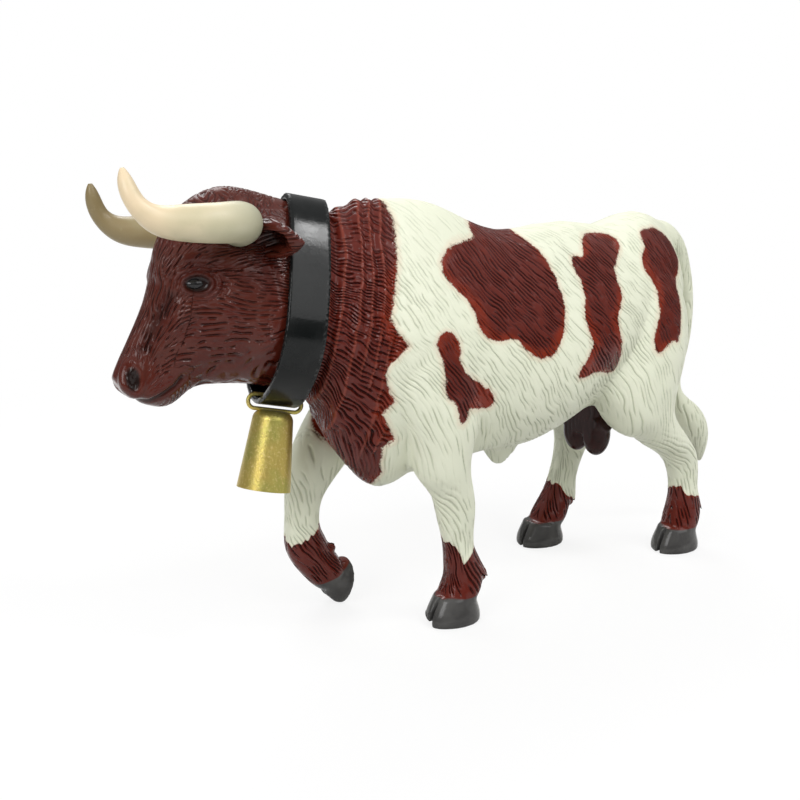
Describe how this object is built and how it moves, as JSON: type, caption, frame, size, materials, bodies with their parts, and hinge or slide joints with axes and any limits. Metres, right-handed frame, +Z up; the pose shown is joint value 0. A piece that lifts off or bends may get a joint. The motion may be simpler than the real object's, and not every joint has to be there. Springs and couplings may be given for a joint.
{
  "type": "cow figurine",
  "caption": "Walking horned bull figurine of painted moulded vinyl, head turned, one foreleg raised, with a collar strap and a hollow bell that swings from it.",
  "frame": {"origin": "middle of the whole figurine's box, on the surface that the hooves stand on", "axes": "+Z up, -X the way the bull walks, -Y its left side, +Y its right side, to which the head is turned"},
  "size_m": [0.1783, 0.0615, 0.1042],
  "materials": {
    "hide": "satin cream paint with brown patches",
    "brown_hide": "satin red-brown paint",
    "horn": "satin ivory paint",
    "dark_skin": "satin dark brown paint",
    "black_strap": "gloss black paint",
    "gold_paint": "grained metallic gold paint"
  },
  "bodies": {
    "figure": {"torso": "hide", "head": "brown_hide", "left_horn": "horn", "right_horn": "horn", "left_foreleg": "hide", "right_foreleg": "hide", "left_hind_leg": "hide", "right_hind_leg": "hide", "tail": "hide", "scrotum": "dark_skin", "collar_strap": "black_strap"},
    "bell": {"bell": "gold_paint"}
  },
  "joints": [
    {"name": "bell_swing", "type": "hinge", "parent": "figure", "child": "bell", "pos_m": [-0.05276, -0.00533, 0.05338], "axis": [0.9301, -0.3112, -0.1951], "range_deg": [-12, 12]}
  ]
}
